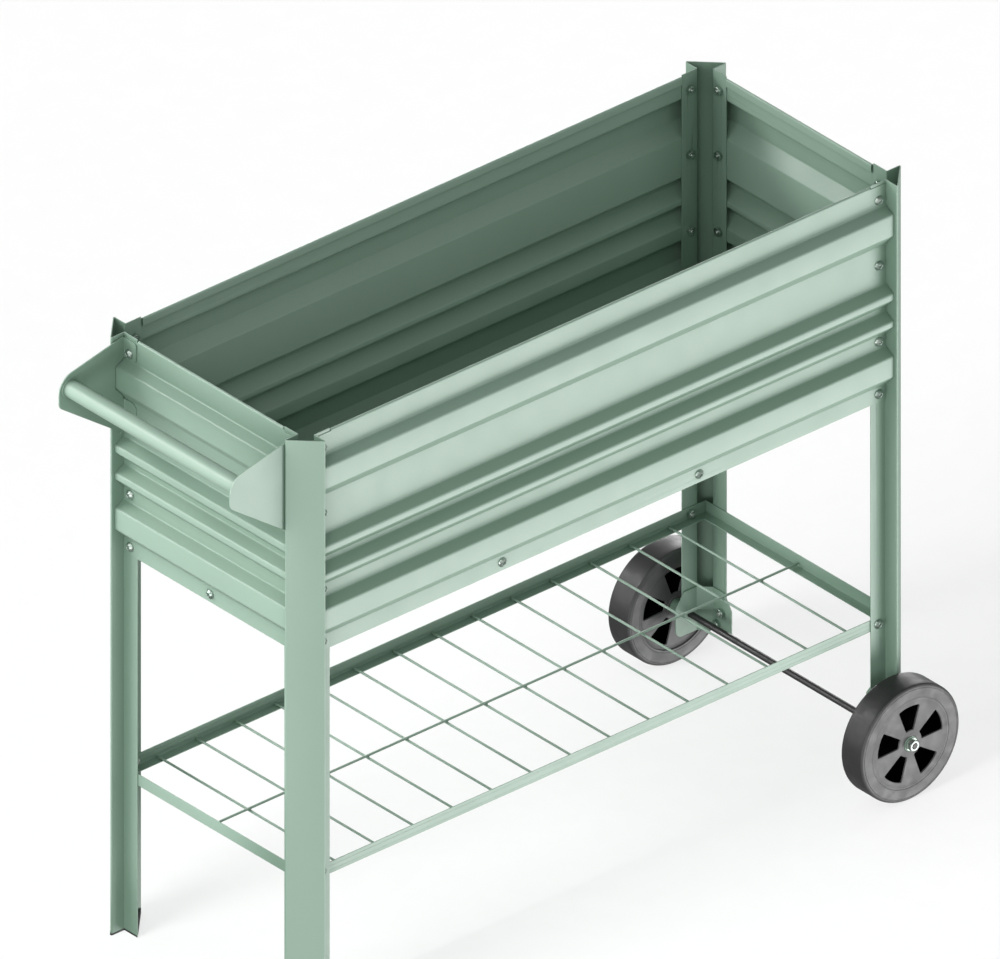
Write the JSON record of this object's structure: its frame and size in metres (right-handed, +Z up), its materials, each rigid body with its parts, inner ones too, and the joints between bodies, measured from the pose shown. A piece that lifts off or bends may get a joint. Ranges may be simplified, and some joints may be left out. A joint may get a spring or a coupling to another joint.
{
  "type": "raised planter on legs",
  "caption": "Raised corrugated sheet-metal planter on folded corner legs, with a wire shelf, a push handle at one end and wheels on an axle at the other.",
  "frame": {"origin": "centre of the plan box of the whole planter, on the ground", "axes": "+X along the long side from the handle end to the wheel end, +Y from the front long side to the back, +Z up"},
  "size_m": [1.049, 0.461, 0.8],
  "materials": {
    "green_paint": "satin sage green powder coat",
    "green_inside": "satin sage green powder coat, inside and under the floor",
    "wheel_plastic": "fine moulded grain, charcoal",
    "tyre_rubber": "dull charcoal with a smooth rounded tread",
    "black_plastic": "moulded black foot cap",
    "black_rod": "black coated steel rod",
    "zinc_fasteners": "bright zinc plating"
  },
  "bodies": {
    "frame": {"leg_front_left": "green_paint", "leg_back_left": "green_paint", "leg_front_right": "green_paint", "leg_back_right": "green_paint", "foot_front_left": "black_plastic", "foot_back_left": "black_plastic", "front_panel": "green_paint", "back_panel": "green_paint", "left_panel": "green_paint", "right_panel": "green_paint", "floor_tray_left": "green_inside", "floor_tray_middle": "green_inside", "floor_tray_right": "green_inside", "floor_brace_left": "green_inside", "floor_brace_right": "green_inside", "handle_tube": "green_paint", "handle_cheek_front": "green_paint", "handle_cheek_back": "green_paint", "shelf_rail_front": "green_paint", "shelf_rail_back": "green_paint", "shelf_rail_left": "green_paint", "shelf_rail_right": "green_paint", "shelf_cross_wires": "green_paint", "shelf_long_wire": "green_paint", "axle": "black_rod", "axle_bracket_front": "green_paint", "axle_bracket_back": "green_paint", "axle_inner_washers": "zinc_fasteners", "axle_outer_washers": "zinc_fasteners", "axle_nuts": "zinc_fasteners", "bolts_front_panel": "zinc_fasteners", "bolts_back_panel": "zinc_fasteners", "bolts_left_panel": "zinc_fasteners", "bolts_right_panel": "zinc_fasteners", "bolts_handle": "zinc_fasteners", "bolts_shelf": "zinc_fasteners", "bolts_bracket": "zinc_fasteners", "nuts_front_panel": "zinc_fasteners", "nuts_back_panel": "zinc_fasteners", "nuts_left_panel": "zinc_fasteners", "nuts_right_panel": "zinc_fasteners", "nuts_handle": "zinc_fasteners", "nuts_shelf": "zinc_fasteners", "nuts_bracket": "zinc_fasteners"},
    "front_wheel": {"wheel_front": "wheel_plastic", "tyre_front": "tyre_rubber", "wheel_sleeve_front": "green_paint"},
    "back_wheel": {"wheel_back": "wheel_plastic", "tyre_back": "tyre_rubber", "wheel_sleeve_back": "green_paint"}
  },
  "joints": [
    {"name": "front_wheel_spin", "type": "hinge", "parent": "frame", "child": "front_wheel", "pos_m": [0.44948, -0.2035, 0.075], "axis": [0, 1, 0], "continuous": true},
    {"name": "back_wheel_spin", "type": "hinge", "parent": "frame", "child": "back_wheel", "pos_m": [0.44948, 0.2035, 0.075], "axis": [0, 1, 0], "continuous": true}
  ]
}
